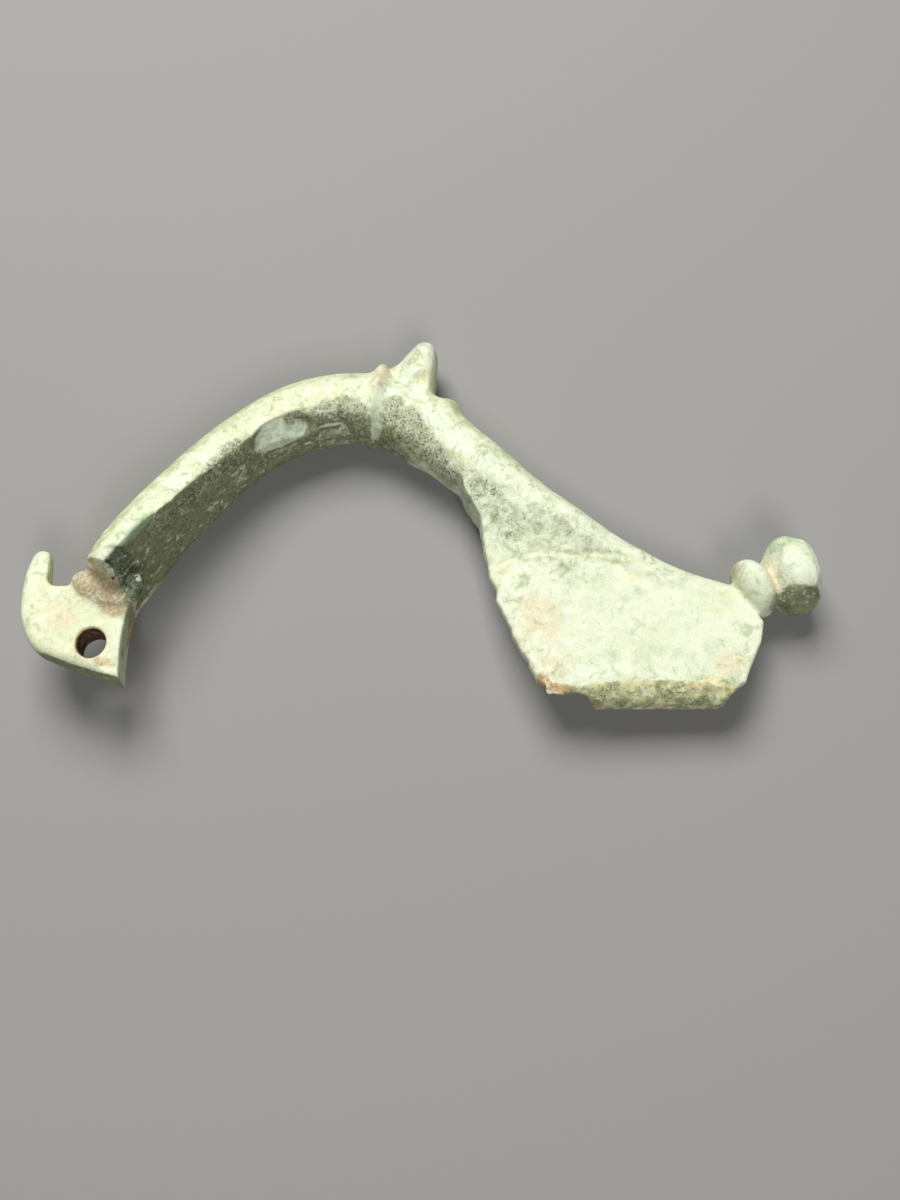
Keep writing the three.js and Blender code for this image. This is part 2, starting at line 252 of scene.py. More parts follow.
def plateForm(rows=150, columns=90):
    # rows run up the plate from the catch, columns from its left edge to its right; the two
    # faces are flat up to the crease and swell above it to the leg's own width
    y = np.linspace(plate["flatEdge"], plate["topY"], rows)
    left = np.interp(y, plate["leftY"], plate["leftX"])
    right = np.interp(y, plate["rightY"], plate["rightX"])
    edge = np.stack([np.zeros(rows), y, np.zeros(rows)], 1)
    chips, fray = plate["chips"], plate["fray"]
    left = left + chips[0] * layeredNoise(edge, chips[1], 11) + fray[0] * latticeNoise(edge, fray[1], 15)
    across = ease(np.linspace(0, 1, columns)) * 0.5 + np.linspace(0, 1, columns) * 0.5
    x = left[:, None] + (right - left)[:, None] * across[None, :]
    middle = np.interp(x, spine[:, 0], spine[:, 1])
    legHalf = np.interp(x, spine[:, 0], easedBetween(spineShare, bow["at"], bow["width"]) / 2)
    bent = plate["crease"]
    alongCrease = np.clip((x - bent["fromX"]) / bent["length"], 0, 1)
    crease = bent["low"] + bent["rise"] * np.sin(math.pi * alongCrease)
    rise = np.clip((y[:, None] - crease) / np.maximum(0.6, middle - crease), 0, 1)
    half = plate["half"] + (np.maximum(legHalf * 0.98, plate["half"]) - plate["half"]) * rise
    half = np.where(x > plate["flatFromX"], plate["half"], half)
    wall = np.linspace(1, -1, 9)[1:-1]
    near = np.stack([x, np.broadcast_to(y[:, None], x.shape), half], 2)
    far = near[:, ::-1] * np.array([1, 1, -1])
    rightWall = near[:, -1:] * np.stack([np.ones(7), np.ones(7), wall], 1)[None]
    leftWall = near[:, :1] * np.stack([np.ones(7), np.ones(7), -wall], 1)[None]
    bulge = np.sqrt(1 - wall**2) * plate["bulge"]
    rightWall[:, :, 0] += bulge
    leftWall[:, :, 0] -= bulge[::-1]
    return np.concatenate([near, rightWall, far, leftWall], axis=1)


catch = dict(
    radius=1.45, wall=0.8, lip=1.2, fromX=34.95, wholeX=(37.3, 39.9), toX=47.9,
    stub=42, wander=12,  # degrees
    taper=0.5, slant=1.05, slantFromX=43, slantOver=4, arcShare=0.8,
)


def catchForm(stations=200, around=46):
    # the plate's edge rolled to the far side: at each x the roll runs to its own angle, a
    # short stub where a length has broken away and a half turn with a straight lip beyond
    x = np.linspace(catch["fromX"], catch["toX"], stations)
    line = np.stack([x, np.zeros(stations), np.zeros(stations)], 1)
    ragged = layeredNoise(line, 0.9, 21, 4)
    whole = ease((x - catch["wholeX"][0]) / (catch["wholeX"][1] - catch["wholeX"][0]))
    taper = ease((catch["toX"] - x) / catch["taper"])
    degrees = catch["stub"] + (180 - catch["stub"]) * whole + catch["wander"] * ragged
    degrees = degrees * (0.25 + 0.75 * taper)
    lip = catch["lip"] * whole * taper * (1 + 0.25 * ragged)
    t = np.linspace(0, 1, around)
    arcShare = catch["arcShare"]
    outer, inner = catch["radius"], catch["radius"] - catch["wall"]
    centreY, centreZ = plate["flatEdge"] + 0.1, plate["half"] - catch["radius"]

    def arc(radius):
        a = math.pi / 2 + np.radians(degrees)[:, None] * np.minimum(1, t / arcShare)[None, :]
        beyond = lip[:, None] * np.maximum(0, t - arcShare)[None, :] / (1 - arcShare)
        end = math.pi / 2 + np.radians(degrees)[:, None]
        y = centreY + radius * np.cos(a) - beyond * np.sin(end)
        z = centreZ + radius * np.sin(a) + beyond * np.cos(end)
        return y, z

    yo, zo = arc(outer)
    yi, zi = arc(inner)
    root = np.full((stations, 1), centreY + 0.6)
    y = np.concatenate([root, yo, yi[:, ::-1], root], 1)
    z = np.concatenate([np.full((stations, 1), plate["half"] - 0.02), zo, zi[:, ::-1],
                        np.full((stations, 1), centreZ + inner)], 1)
    slant = catch["slant"] * ease((x - catch["slantFromX"]) / catch["slantOver"])[:, None]
    slant = slant * np.maximum(0, plate["flatEdge"] - y)
    return np.stack([x[:, None] - slant, y, z], 2)


# ---- lug with the chord hook
lug = dict(
    half=1.2, rounding=0.75, levels=7,
    squareInside=0.75, squareNotch=0.7, hookThinning=0.55,  # shares
    hole=(5.35, -3.5), holeRadius=0.88, countersink=0.12, holeReach=2.2, mouth=0.28, stretch=1.08,
)


def bend(start, control, end, count=12):
    # points of a quadratic curve, without its start
    t = np.linspace(0, 1, count + 1)[1:, None]
    start, control, end = np.array(start), np.array(control), np.array(end)
    return (1 - t) ** 2 * start + 2 * t * (1 - t) * control + t**2 * end


def lugOutline():
    tip, radius = np.array([1.37, 2.6]), 0.65
    a = np.linspace(-0.2, math.pi, 16)[:, None]
    hookEnd = tip + radius * np.hstack([np.cos(a), np.sin(a)])
    return np.vstack([
        bend((0.72, 2.6), (0.3, 1.7), (0.25, 0.4)),
        bend((0.25, 0.4), (0.1, -1.9), (1.15, -3.4)),
        bend((1.15, -3.4), (1.5, -3.85), (2.1, -4.15)),
        bend((2.1, -4.15), (4.6, -5.25), (7.4, -5.95)),
        bend((7.4, -5.95), (7.15, -3.4), (7.55, -1.2)),
        bend((7.55, -1.2), (7.65, 0.2), (7.6, 1.5)),
        [(6.7, 2.5), (4.7, 1.8)],
        bend((4.7, 1.8), (4.2, 1.0), (3.7, 0.65)),
        [(2.55, 0.6)],
        bend((2.55, 0.6), (2.0, 0.7), (1.95, 1.2)),
        [(2.0, 2.4)],
        hookEnd[:-1],
    ])


def holeForm(around=48):
    # a drilled hole whose two mouths are worn a little wider, longer than the lug is thick
    z = np.linspace(-lug["holeReach"], lug["holeReach"], 41)
    mouth = np.exp(-((np.abs(z) - lug["half"]) / lug["mouth"]) ** 2) + (np.abs(z) > lug["half"]) * 0.6
    radius = lug["holeRadius"] + lug["countersink"] * np.minimum(1, mouth)
    angle = np.linspace(0, 2 * math.pi, around, endpoint=False)
    x = lug["hole"][0] + radius[:, None] * np.cos(angle)
    y = lug["hole"][1] + radius[:, None] * np.sin(angle) * lug["stretch"]
    return np.stack([x, y, np.broadcast_to(z[:, None], x.shape)], 2)


# ---- from grids to meshes
def meshObject(name, vertices, faces):
    mesh = bpy.data.meshes.new(name)
    mesh.from_pydata(vertices.tolist(), [], faces)
    mesh.update()
    piece = bpy.data.objects.new(name, mesh)
    bpy.context.scene.collection.objects.link(piece)
    return piece


def readVectors(items, name):
    flat = np.empty(len(items) * 3)
    items.foreach_get(name, flat)
    return flat.reshape(-1, 3)


def skinFaces(rings, columns):
    # quads between neighbouring rings, which close on themselves, and one cap at each end
    i, j = np.meshgrid(np.arange(rings - 1), np.arange(columns), indexing="ij")
    k = (j + 1) % columns
    quads = np.stack([i * columns + j, i * columns + k, (i + 1) * columns + k, (i + 1) * columns + j], 2)
    first = list(range(columns))[::-1]
    last = list(range((rings - 1) * columns, rings * columns))
    return quads.reshape(-1, 4).tolist() + [first, last]


def skin(name, grid):
    rings, columns = grid.shape[:2]
    piece = meshObject(name, grid.reshape(-1, 3), skinFaces(rings, columns))
    faceOutward(piece)
    return piece


def faceOutward(piece):
    # turns the whole skin over if it encloses a negative volume
    mesh = piece.data
    mesh.calc_loop_triangles()
    index = np.empty(len(mesh.loop_triangles) * 3, dtype=np.int32)
    mesh.loop_triangles.foreach_get("vertices", index)
    a, b, c = readVectors(mesh.vertices, "co")[index.reshape(-1, 3)].transpose(1, 0, 2)
    if np.einsum("ij,ij->", a, np.cross(b, c)) < 0:
        mesh.flip_normals()


def lugPiece():
    # the outline at several levels, drawn in towards both faces so that the outer edges are
    # rounded, least at the straight inner side; the hook thins from the far side to its tip
    outline = lugOutline()
    along = np.roll(outline, -1, axis=0) - np.roll(outline, 1, axis=0)
    along /= np.linalg.norm(along, axis=1)[:, None]
    inward = np.stack([-along[:, 1], along[:, 0]], 1)
    x, y = outline.T
    edge = lug["rounding"] * (1 - lug["squareInside"] * ease((x - 5.2) / 1.8))
    edge = edge * (1 - lug["squareNotch"] * ease((x - 1.6) / 0.4) * ease((y + 0.2) / 0.4))
    rings = []
    for side in (-1, 1):
        for t in np.linspace(90, 0, lug["levels"])[::-side]:
            inset = edge * (1 - math.cos(math.radians(t)))
            z = side * (lug["half"] - edge * (1 - math.sin(math.radians(t))))
            xy = outline + inward * inset[:, None]
            rings.append(np.column_stack([xy, z]))
    rings = np.stack(rings)
    hook = ease((2.6 - rings[:, :, 0]) / 0.8) * ease((rings[:, :, 1] + 0.6) / 3.4)
    rings[:, :, 2] = lug["half"] - (lug["half"] - rings[:, :, 2]) * (1 - lug["hookThinning"] * hook)
    piece = skin("lug", rings)
    drill = skin("drill", holeForm())
    cut = piece.modifiers.new("hole", "BOOLEAN")
    cut.operation = "DIFFERENCE"
    cut.solver = "EXACT"
    cut.object = drill
    applyModifiers(piece)
    bpy.data.objects.remove(drill)
    return piece


def mound(name, level, turn, length, height, place):
    # half an oval turned about its long axis: soil caked between the lug and the head, on the
    # side that shows, and the fillet of the casting beside it
    a = np.linspace(0, math.pi, 30)
    profile = np.stack([-length * np.cos(a), height * np.sin(a)], 1)
    return skin(name, turnedForm(profile, place, turn) + np.array([0, 0, level]))


def applyModifiers(piece):
    graph = bpy.context.evaluated_depsgraph_get()
    made = bpy.data.meshes.new_from_object(piece.evaluated_get(graph), depsgraph=graph)
    old = piece.data
    piece.modifiers.clear()
    piece.data = made
    bpy.data.meshes.remove(old)


def joined(name, parts):
    vertices, faces, start = [], [], 0
    for part in parts:
        mesh = part.data
        vertices.append(readVectors(mesh.vertices, "co"))
        faces += [[start + v for v in polygon.vertices] for polygon in mesh.polygons]
        start += len(mesh.vertices)
        bpy.data.objects.remove(part)
    return meshObject(name, np.vstack(vertices), faces)


mounds = [
    dict(name="soil", place=(5.6, 0.3), level=0.95, turn=-24, length=2.2, height=1.15),
    dict(name="fillet", place=(7.5, 0.3), level=1.15, turn=66, length=1.3, height=0.9),
]
casting = dict(voxel=0.145, evening=7, pulls=(0.5, -0.52), clearance=0.004)


def castOne():
    # all the forms fused into one skin of even cells, then evened out without shrinking
    parts = [
        skin("bow", bowAndLeg()), skin("crest", crestKnobForm()), skin("collar", collarForm()),
        skin("knob", footKnobForm()), skin("plate", plateForm()), skin("catch", catchForm()),
        lugPiece(), *(mound(**values) for values in mounds),
    ]
    piece = joined("bronzeBrooch", parts)
    fuse = piece.modifiers.new("fuse", "REMESH")
    fuse.mode = "VOXEL"
    fuse.voxel_size = casting["voxel"]
    applyModifiers(piece)
    return piece


def writePoints(mesh, points):
    mesh.vertices.foreach_set("co", np.ascontiguousarray(points).ravel())
    mesh.update()


def evened(points, edges, rounds):
    # each round draws a point to the mean of its neighbours and then pushes it back a bit more
    count = np.bincount(edges.ravel(), minlength=len(points)).astype(float)[:, None]
    for _ in range(rounds):
        for pull in casting["pulls"]:
            total = np.zeros_like(points)
            np.add.at(total, edges[:, 0], points[edges[:, 1]])
            np.add.at(total, edges[:, 1], points[edges[:, 0]])
            points = points + pull * (total / count - points)
    return points


brooch = castOne()
mesh = brooch.data
points = readVectors(mesh.vertices, "co")
edges = np.empty(len(mesh.edges) * 2, dtype=np.int64)
mesh.edges.foreach_get("vertices", edges)
points = evened(points, edges.reshape(-1, 2), casting["evening"])
writePoints(mesh, points)
print("cast:", len(points), "points,", len(mesh.polygons), "faces")


# ---- where each point lies on the bow: millimetres along it from the head, degrees round it
# (0 outward, 90 the near side, 180 the underside) and its distance from the middle line
def bowPlace(points):
    nearest = np.empty(len(points), dtype=np.int64)
    for first in range(0, len(points), 4000):
        some = points[first:first + 4000, None, :2]
        nearest[first:first + 4000] = ((some - spine[None]) ** 2).sum(2).argmin(1)
    v = ((points[:, :2] - spine[nearest]) * spineOut[nearest]).sum(1)
    turn = np.degrees(np.arctan2(points[:, 2], v)) % 360
    return spineShare[nearest] * spineLength, turn, np.hypot(v, points[:, 2])


def plateau(distance, softness=0.35):
    # 1 within the outline at distance 1, easing to 0 outside it
    return ease((1 + softness / 2 - distance) / softness)


def bowOvals(rows, softness=0.35):
    # each row: run, turn, half length in millimetres, half width in degrees, strength
    total = np.zeros(len(points))
    for atRun, atTurn, length, width, strength in rows:
        away = (turn - atTurn + 180) % 360 - 180
        distance = np.hypot((run - atRun) / length, away / width)
        total = np.maximum(total, strength * plateau(distance, softness))
    return total * (reach < 4.5)


def ovals(rows, softness=0.35):
    # each row: centre, half sizes along x, y and z, turn in the x-y plane, strength
    total = np.zeros(len(points))
    for centre, radii, angle, strength in rows:
        d = points - np.array(centre)
        c, s = math.cos(math.radians(angle)), math.sin(math.radians(angle))
        d = np.stack([d[:, 0] * c + d[:, 1] * s, -d[:, 0] * s + d[:, 1] * c, d[:, 2]], 1)
        distance = np.linalg.norm(d / np.array(radii), axis=1)
        total = np.maximum(total, strength * plateau(distance, softness))
    return total


def alongLine(line, width):
    # 1 on a line through the x-y points, easing to 0 at this distance from it, near side only
    line = np.asarray(line, float)
    best = np.full(len(points), 1e9)
    for a, b in zip(line[:-1], line[1:]):
        t = np.clip(((points[:, :2] - a) @ (b - a)) / ((b - a) @ (b - a)), 0, 1)
        best = np.minimum(best, np.linalg.norm(points[:, :2] - a - t[:, None] * (b - a), axis=1))
    return ease(1 - best / width) * (points[:, 2] > 0.2)


# wear: flat places scraped on the bow, as run, turn, half length, half width, the turn that
# the flat faces, and depth
scrapes = [
    (16.4, 136, 2.6, 26, 124, 0.30), (20.9, 158, 1.6, 22, 146, 0.2), (14.4, 190, 1.6, 24, 190, 0.1),
    (8.2, 100, 1.3, 18, 100, 0.07), (10.6, 104, 0.9, 14, 104, 0.06), (29.4, 90, 1.5, 20, 90, 0.08),
    (31.8, 100, 1.2, 22, 100, 0.06), (34.4, 96, 1.8, 26, 92, 0.07), (38.0, 88, 1.8, 24, 88, 0.05),
    (22.6, 250, 2.2, 30, 250, 0.12), (12.0, 262, 1.9, 24, 262, 0.1), (31.5, 255, 2.0, 30, 255, 0.1),
    (26.4, 62, 1.0, 18, 62, 0.08),
]
knobCuts = [  # flats on the foot knob: direction from its middle and depth
    ((0.3, -0.9, 0.35), 0.35), ((0.2, 0.85, 0.5), 0.15), ((0.85, -0.3, 0.4), 0.12),
    ((0.1, -0.2, -0.97), 0.12),
]
creaseLine = [(31.9, 1.9), (32.7, 2.35), (33.6, 2.75), (34.6, 2.95), (38.5, 2.95), (42.6, 2.2)]
surface = dict(  # how far each kind of relief moves the skin
    swell=0.05, lumps=0.025, crust=0.06, ragged=0.17, fold=0.1, broken=0.16,
    ledge=0.2, notch=0.14, hollow=0.45, crease=0.06, ridge=0.07, all=0.03,
)

probe = dict(degrees=14, share=0.5, within=4)  # the patch whose mean gives a scrape its plane

run, turn, reach = bowPlace(points)
normals = readVectors(mesh.vertex_normals, "vector")


def flattened(points, centre, normal, depth, region):
    # cuts down to a plane this deep below the centre, only within the region
    over = (points - centre) @ normal + depth
    return points - normal * (np.maximum(0, over) * region)[:, None]


for atRun, atTurn, length, width, facing, depth in scrapes:
    distance = np.hypot(run - atRun, ((turn - facing + 180) % 360 - 180) / probe["degrees"])
    weight = np.exp(-((distance / probe["share"]) ** 2)) * (reach < probe["within"])
    centre = (points * weight[:, None]).sum(0) / weight.sum()
    normal = (normals * weight[:, None]).sum(0)
    region = bowOvals([(atRun, atTurn, length, width, 1.0)], 0.3)
    points = flattened(points, centre, normal / np.linalg.norm(normal), depth, region)

knobMiddle = np.array([51.6, 1.75, 0.0])
onKnob = plateau(np.linalg.norm((points - knobMiddle) / (2.6, 3.4, 3.4), axis=1), 0.3)
for direction, depth in knobCuts:
    direction = np.array(direction) / np.linalg.norm(direction)
    top = ((points - knobMiddle) @ direction)[onKnob > 0.5].max()
    points = flattened(points, knobMiddle + direction * top, direction, depth, onKnob)

# the ledge where a chip of crust has come off below the scraped part, with a notch in it
wander = layeredNoise(points, 0.8, 41)
ledge = bowOvals([(20.9, 176, 1.75, 25, 1.0)], 0.1) * ease((turn - 153 + 5 * wander) / 3)
notch = bowOvals([(21.6, 166, 0.32, 14, 1.0)], 0.5)
hollow = ovals([((7.0, 0.5, 2.9), (1.25, 1.0, 1.3), 30, 1.0)], 1.0)
headEnd = ovals([((6.0, 1.7, z), (1.6, 1.9, 2.2), 0, 1.0) for z in (3.4, -3.4)])
crease = alongLine([(x, y + 0.24) for x, y in creaseLine], 0.26)
ridge = alongLine(creaseLine, 0.3)
roll = ovals([((42.0, -6.7, -0.8), (7.2, 1.0, 2.2), 0, 1.0)], 0.3)
brokenEdge = ovals([((35.6, -6.2, 0.2), (1.9, 0.7, 1.2), -8, 1.0)], 0.5)

# the crust: grainy places on the bow, run, turn, half length, half width, strength
crustSpots = [
    (5.6, 130, 3.4, 15, 0.9), (9.8, 128, 2.6, 20, 1.0), (12.4, 132, 1.7, 26, 1.0),
    (18.6, 121, 1.8, 13, 0.95), (21.6, 121, 2.3, 17, 1.0), (23.1, 140, 0.9, 32, 0.75),
    (22.0, 186, 2.6, 22, 0.8), (25.7, 104, 0.9, 18, 1.0), (27.2, 126, 2.1, 32, 1.0),
    (29.6, 142, 2.3, 30, 1.0), (31.6, 156, 1.9, 28, 0.95), (34.6, 142, 2.6, 30, 0.65),
    (37.2, 146, 2.6, 22, 0.6), (41.0, 118, 3.8, 18, 0.55), (27.0, 176, 2.4, 26, 0.8),
    (14.9, 187, 2.6, 22, 0.9), (11.0, 238, 3.4, 22, 0.8), (20.0, 230, 3.4, 26, 0.8),
    (28.0, 236, 3.4, 28, 0.8), (36.0, 235, 3.0, 28, 0.6), (8.0, 168, 4.5, 34, 0.55),
]
legCrust = [((35.0, 4.2, 0), (5.0, 2.1, 3), -24, 0.38)]
knobCrust = [((51.9, -0.6, 0.9), (1.9, 1.2, 1.9), 0, 0.5)]
crust = np.maximum(bowOvals(crustSpots, 1.0), ovals(legCrust, 1.0))
crust = np.maximum(crust, ovals(knobCrust, 0.8))
crust = np.maximum(crust, 0.62 * roll)

# relief, outward: a slow swell and lumps, least on the flat plate and lug, then grain in the
# crust and on the broken parts, less the worn places
flatness = ovals([
    ((41.5, -1.5, 0), (8.5, 4.6, 0.9), 0, 1.0), ((4.5, -3.0, 0), (3.8, 3.2, 1.6), 0, 1.0)], 0.4)
push = surface["swell"] * layeredNoise(points, 2.6, 3) * (1 - 0.6 * flatness)
push += surface["lumps"] * layeredNoise(points, 0.9, 7) * (1 - 0.4 * flatness)
push += surface["crust"] * crust * layeredNoise(points, 0.42, 13, 2)
push += surface["ragged"] * headEnd * layeredNoise(points, 0.75, 17, 2)
push += surface["fold"] * roll * layeredNoise(points, 0.7, 19, 2)
push += surface["broken"] * brokenEdge * layeredNoise(points, 0.5, 23, 2)
push += surface["ridge"] * ridge - surface["crease"] * crease - surface["all"]
push -= surface["ledge"] * ledge + surface["notch"] * notch + surface["hollow"] * hollow
points = points + normals * push[:, None]
writePoints(mesh, points)
print("worn and crusted")

# ---- what lies on the surface, with painted shade and painted light, kept on the mesh as one number per point for each kind
outwardFacing = (normals[:, :2] * spineOut[np.round(run / spineLength * (len(spine) - 1)).astype(int)]).sum(1)
onBow = (reach < 4.3) * (run > 0.4) * (run < 47)

kinds = dict(
    crust=crust, rough=1 - 0.75 * flatness,
    lime=onBow * ease((outwardFacing - 0.25) / 0.5) * (1 - 0.5 * ease((run - 30) / 10)),
    cream=np.maximum(
        ovals([((3.6, -2.4, 0), (4.3, 6.2, 2.0), 0, 1.0)], 0.5),
        onBow * ease((0.6 - np.abs(outwardFacing)) / 0.4) * (1 - ease((run - 22) / 4)) * 0.8),
    # painted shade: darkens the bow's underside, the lug's faces turned down and its side wall, the knob's
    # lower side and the head's end beside the lug, over a darker olive patina
    oliveAndShade=np.maximum(
        onBow * ease((-outwardFacing - 0.45) / 0.4) * (1 - ease((run - 24) / 8)),
        np.maximum(
            ovals([((7.6, -3.3, 0), (0.42, 3.6, 1.6), 3, 0.5),
                   ((51.9, -0.7, 0.9), (1.9, 1.2, 1.9), 0, 0.95),
                   ((7.9, 0.5, 1.5), (1.1, 1.5, 1.6), 0, 1.0)], 0.5),
            ovals([((4.4, -5.6, 0), (4.4, 2.9, 2.2), -22, 1.0)], 0.3)
            * ease((-normals[:, 1] - 0.72) / 0.2))),
    # painted light: pale on the scraped facets and the ledge that face down, lighter than the scraped patina
    # itself so that they look lit
    scrapeAndLight=np.maximum(
        bowOvals([(16.3, 138, 2.4, 22, 1.0), (21.6, 166, 0.4, 18, 1.0), (12.2, 182, 1.3, 14, 0.45),
                  (24.9, 125, 0.65, 62, 0.95), (32.5, 170, 0.7, 10, 0.9), (20.2, 172, 1.2, 14, 0.45),
                  (22.6, 250, 2.0, 26, 0.7), (12.0, 262, 1.7, 20, 0.6)], 0.25),
        ovals([((7.3, 0.9, 2.9), (1.2, 1.1, 1.3), 30, 0.9)], 0.5)),
    bare=np.maximum(
        bowOvals([(8.0, 102, 1.2, 13, 0.9), (10.4, 106, 0.7, 9, 0.9), (25.2, 48, 0.7, 14, 0.9),
                  (26.6, 66, 0.9, 12, 0.8), (29.2, 88, 1.3, 16, 0.9), (31.6, 98, 1.2, 12, 0.8),
                  (34.4, 94, 1.8, 12, 0.7), (37.0, 98, 1.0, 9, 0.6), (40.4, 104, 0.9, 9, 0.8),
                  (20.4, 148, 1.4, 3, 0.9), (25.3, 10, 0.8, 20, 0.4)], 0.6),
        ovals([((32.7, 1.4, 0.6), (0.5, 0.3, 0.6), 20, 1.6), ((51.4, 1.7, 2.7), (0.9, 0.8, 0.6), 0, 1.2),
               ((52.7, 1.1, 2.0), (0.6, 0.7, 0.8), 0, 1.0), ((48.9, 1.7, 1.6), (0.5, 0.4, 0.5), 0, 0.8),
               ((38.2, -5.2, 0.6), (1.6, 0.7, 0.4), 0, 0.6)], 0.6)),
    soil=ovals([
        ((5.5, 0.35, 1.5), (1.9, 1.1, 1.2), -25, 1.0), ((6.7, -0.6, 1.1), (1.2, 1.1, 0.7), -50, 1.0),
        ((5.9, 1.2, 3.2), (0.8, 0.8, 1.3), -30, 0.7), ((5.6, 0.35, -1.5), (2.0, 1.2, 1.1), -25, 1.0),
        ((47.8, 1.95, 0.9), (0.35, 0.7, 0.8), 20, 0.6)], 0.8),
    stain=np.maximum(
        ovals([((3.2, -1.7, 1.2), (1.3, 1.0, 0.6), -30, 0.7), ((34.7, -1.5, 0.6), (1.5, 1.8, 0.5), 20, 0.9),
               ((47.1, -4.7, 0.6), (1.2, 0.9, 0.5), 20, 0.9), ((35.6, -4.9, 0.6), (1.6, 1.3, 0.5), 20, 0.6),
               ((50.2, 0.9, 0.9), (0.5, 2.0, 1.9), 10, 0.9)], 0.9),
        bowOvals([(24.2, 45, 0.55, 50, 0.9), (26.6, 108, 0.5, 12, 0.8)], 0.7)),
    rust=ovals([
        ((5.35, -3.5, 0.9), (1.05, 1.12, 1.2), 0, 1.0), ((5.35, -3.5, -0.9), (1.05, 1.12, 1.2), 0, 1.0),
        ((35.6, -6.35, 0.3), (1.4, 0.28, 1.0), -5, 0.9), ((34.9, -5.9, 0.3), (0.6, 0.35, 1.0), -50, 0.9),
        ((33.4, -3.4, 0.2), (0.25, 1.4, 0.6), 25, 0.35), ((37.6, -6.9, -0.4), (1.2, 0.5, 0.8), -15, 0.75),
        ((7.2, -1.6, -0.8), (0.7, 1.2, 0.7), 0, 0.8), ((6.4, -4.9, 1.1), (0.9, 0.35, 0.5), -15, 0.6)], 0.6),
    # painted light: the rolled catch faces down and is coloured paler than its ochre crust, so that it looks
    # lit
    ochreAndLight=np.maximum(roll, 0.9 * ovals([((46.0, -6.2, 0.3), (1.2, 0.6, 0.8), 0, 1.0)], 0.6)),
    green=ovals([
        ((50.7, 3.6, 1.2), (1.6, 1.0, 1.6), -15, 1.0), ((48.2, 2.7, 0.6), (1.0, 0.5, 0.8), 0, 0.8),
        ((50.0, -0.6, 1.0), (0.6, 0.7, 0.9), 0, 0.6), ((45.3, -5.8, 0.5), (0.8, 0.35, 0.4), 0, 0.8),
        ((47.3, -5.6, 0.4), (0.7, 0.5, 0.5), 40, 0.6), ((26.3, 19.2, 1.0), (1.0, 0.8, 1.6), 20, 0.7),
        ((8.6, 3.5, 4.1), (0.5, 1.7, 0.7), -35, 0.8)], 0.8),
    # painted shade: dark teal in the hollow at the head's end beside the lug, where shade falls, over dark
    # patina
    hollow=ovals([
        ((7.7, 0.9, 2.2), (0.9, 1.5, 2.4), 20, 1.0), ((7.0, 1.5, 3.6), (0.9, 0.9, 1.1), 0, 0.8)], 0.6),
    bore=ovals([((5.35, -3.5, 0), (1.0, 1.08, 4.0), 0, 1.0)], 0.12),
    crease=0.6 * ridge,
)
for kind, amount in kinds.items():
    attribute = mesh.attributes.new(kind, "FLOAT", "POINT")
    attribute.data.foreach_set("value", np.ascontiguousarray(amount, dtype=np.float32))

low, high = (np.array(corner) for corner in cadBox)
inside = casting["clearance"] * mm
writePoints(mesh, np.clip(toFrame(points), low + np.array([inside, inside, 0]), high - inside))
mesh.shade_smooth()
print("patina placed")


# ---- look
def colour(hexCode, alpha=1.0):
    # sRGB hex to the linear values that nodes use
    parts = [int(hexCode[i:i + 2], 16) / 255 for i in (1, 3, 5)]
    linear = [p / 12.92 if p <= 0.04045 else ((p + 0.055) / 1.055) ** 2.4 for p in parts]
    return (*linear, alpha)


def addNode(tree, kind, settings=None, inputs=None, output=0):
    # adds a node with its own settings and its inputs, by name or number, each a plain value
    # or another node's output, and gives back one of its outputs
    node = tree.nodes.new("ShaderNode" + kind)
    for name, value in (settings or {}).items():
        setattr(node, name, value)
    for name, value in (inputs or {}).items():
        if isinstance(value, bpy.types.NodeSocket):
            tree.links.new(value, node.inputs[name])
        else:
            node.inputs[name].default_value = value
    return node.outputs[output] if node.outputs else None


def newMaterial(name):
    material = bpy.data.materials.new(name)
    material.use_nodes = True
    tree = material.node_tree
    tree.nodes.clear()
    return material, tree
